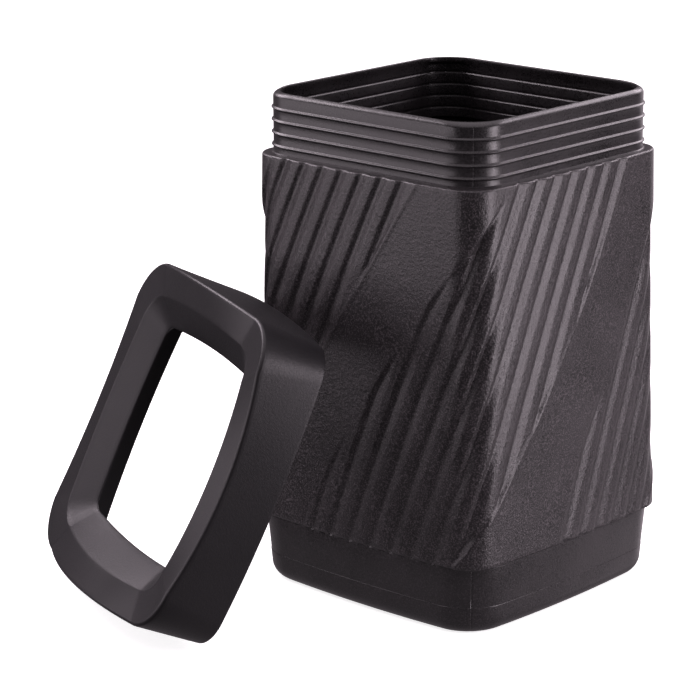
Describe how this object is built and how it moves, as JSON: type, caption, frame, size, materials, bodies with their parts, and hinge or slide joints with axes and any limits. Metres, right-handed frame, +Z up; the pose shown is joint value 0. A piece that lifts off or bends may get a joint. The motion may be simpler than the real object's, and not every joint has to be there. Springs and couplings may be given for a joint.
{
  "type": "square litter bin",
  "caption": "Square open-top litter bin: twisted-rib blow-moulded canister with a beaded neck, and its lift-off funnel lid leaning beside it.",
  "frame": {"origin": "centre of the canister's flat underside, on the floor", "axes": "+Z up, out of the canister's mouth; X and Y square to its sides; the lifted-off lid stands beside the -X -Y corner"},
  "size_m": [0.7281, 0.8452, 0.7746],
  "materials": {
    "canister_body": "coarse leather grain on the panels, satin on the neck and base band",
    "lid": "fine satin"
  },
  "bodies": {
    "canister": {"canister_body": "canister_body"},
    "lid": {"lid": "lid"}
  },
  "joints": [
    {"name": "lid_lift", "type": "slide", "parent": "canister", "child": "lid", "axis": [0, 0, 1], "range_m": [0, 0.8]}
  ]
}
